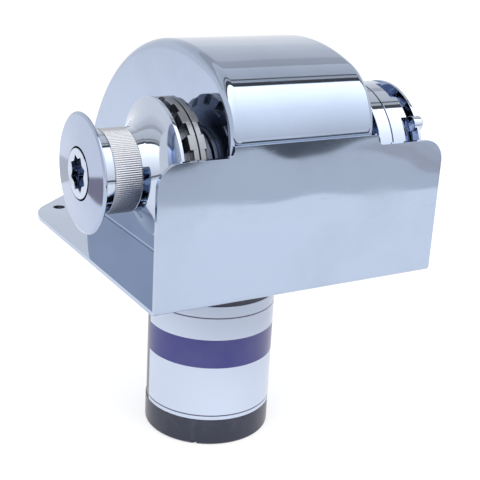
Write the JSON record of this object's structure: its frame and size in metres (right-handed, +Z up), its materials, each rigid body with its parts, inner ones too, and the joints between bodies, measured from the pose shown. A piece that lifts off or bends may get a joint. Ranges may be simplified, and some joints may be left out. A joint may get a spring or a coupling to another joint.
{
  "type": "horizontal anchor windlass",
  "caption": "Horizontal anchor windlass: fluted warping drum, gypsies on one shaft, polished cover and guard, worm gear and electric motor below the deck.",
  "frame": {"origin": "centre of the deck bolt pattern, in the underside of the base plate", "axes": "+X along the shaft from drum to clutch nut, +Y from the guard to the plate's tail, +Z up"},
  "size_m": [0.253, 0.267, 0.2964],
  "materials": {
    "polished_stainless": "mirror-polished stainless steel",
    "machined_steel": "turned steel",
    "cast_aluminium": "as cast, bead blasted",
    "bronze": "machined bronze",
    "copper": "enamelled and bare copper",
    "seal_rubber": "matt black rubber",
    "motor_paint": "satin black paint",
    "label_film": "printed film with a plain blue band",
    "magnet_ferrite": "pressed ferrite",
    "core_steel": "stacked laminations",
    "insulator": "moulded phenolic",
    "carbon": "pressed carbon"
  },
  "bodies": {
    "housing": {"base_plate": "polished_stainless", "housing_cover": "polished_stainless", "cover_brackets": "machined_steel", "cover_screws": "machined_steel", "gearbox_lid_screws": "machined_steel", "gearbox_foot_screws": "machined_steel", "motor_flange_screws": "machined_steel", "brush_springs": "machined_steel", "motor_terminal_nuts": "machined_steel", "oil_plug": "machined_steel", "gearbox_case": "cast_aluminium", "gearbox_lid": "cast_aluminium", "worm_cap": "cast_aluminium", "shaft_bush_left": "bronze", "shaft_bush_right": "bronze", "worm_bush_lower": "bronze", "worm_bush_upper": "bronze", "rotor_bush_lower": "bronze", "rotor_bush_upper": "bronze", "motor_terminal_studs": "bronze", "shaft_seal_left": "seal_rubber", "shaft_seal_right": "seal_rubber", "gearbox_lid_gasket": "seal_rubber", "motor_flange": "motor_paint", "motor_case": "motor_paint", "motor_end_cap": "motor_paint", "motor_label": "label_film", "motor_magnets": "magnet_ferrite", "motor_terminal_bushes": "insulator", "brush_holder": "insulator", "motor_brushes": "carbon"},
    "drive_shaft": {"main_shaft": "machined_steel", "worm_wheel_rim": "bronze", "worm_wheel_hub": "machined_steel", "wheel_key": "machined_steel", "wheel_thrust_rings": "machined_steel", "clutch_keys": "machined_steel", "drum_key": "machined_steel", "left_drive_cone": "machined_steel", "right_drive_cone": "machined_steel"},
    "drum": {"warping_drum": "polished_stainless", "drum_end_disc": "polished_stainless", "drum_thrust_washer": "machined_steel"},
    "socket_screw": {"clutch_screw": "polished_stainless"},
    "left_gypsy": {"gypsy_left_outer": "polished_stainless", "gypsy_left_inner": "polished_stainless"},
    "right_gypsy": {"gypsy_right_outer": "polished_stainless", "gypsy_right_inner": "polished_stainless"},
    "thrust_cone": {"right_thrust_cone": "machined_steel"},
    "right_nut": {"clutch_nut": "polished_stainless"},
    "rotor": {"worm_shaft": "machined_steel", "drive_coupling": "machined_steel", "armature_shaft": "machined_steel", "armature_core": "core_steel", "armature_windings": "copper", "commutator": "copper"}
  },
  "joints": [
    {"name": "shaft_spin", "type": "hinge", "parent": "housing", "child": "drive_shaft", "pos_m": [0, -0.076, 0.081], "axis": [1, 0, 0], "continuous": true},
    {"name": "rotor_spin", "type": "hinge", "parent": "housing", "child": "rotor", "pos_m": [-0.013, -0.031, 0], "axis": [0, 0, 1], "continuous": true},
    {"name": "drum_release", "type": "slide", "parent": "drive_shaft", "child": "drum", "axis": [-1, 0, 0], "range_m": [0, 0.0015]},
    {"name": "socket_screw_turn", "type": "hinge", "parent": "drum", "child": "socket_screw", "pos_m": [-0.139, -0.076, 0.081], "axis": [-1, 0, 0], "range_deg": [0, 308.57]},
    {"name": "left_gypsy_spin", "type": "hinge", "parent": "drive_shaft", "child": "left_gypsy", "pos_m": [-0.074, -0.076, 0.081], "axis": [1, 0, 0], "continuous": true},
    {"name": "right_gypsy_spin", "type": "hinge", "parent": "drive_shaft", "child": "right_gypsy", "pos_m": [0.074, -0.076, 0.081], "axis": [1, 0, 0], "continuous": true},
    {"name": "thrust_cone_release", "type": "slide", "parent": "drive_shaft", "child": "thrust_cone", "axis": [1, 0, 0], "range_m": [0, 0.0015]},
    {"name": "clutch_nut_turn", "type": "hinge", "parent": "thrust_cone", "child": "right_nut", "pos_m": [0.107, -0.076, 0.081], "axis": [1, 0, 0], "range_deg": [0, 360]}
  ],
  "couplings": [
    {"joint": "rotor_spin", "follows": "shaft_spin", "ratio": -40},
    {"joint": "socket_screw_turn", "follows": "drum_release", "rad_per_m": 3590},
    {"joint": "thrust_cone_release", "follows": "clutch_nut_turn", "m_per_rad": 0.00023871}
  ]
}
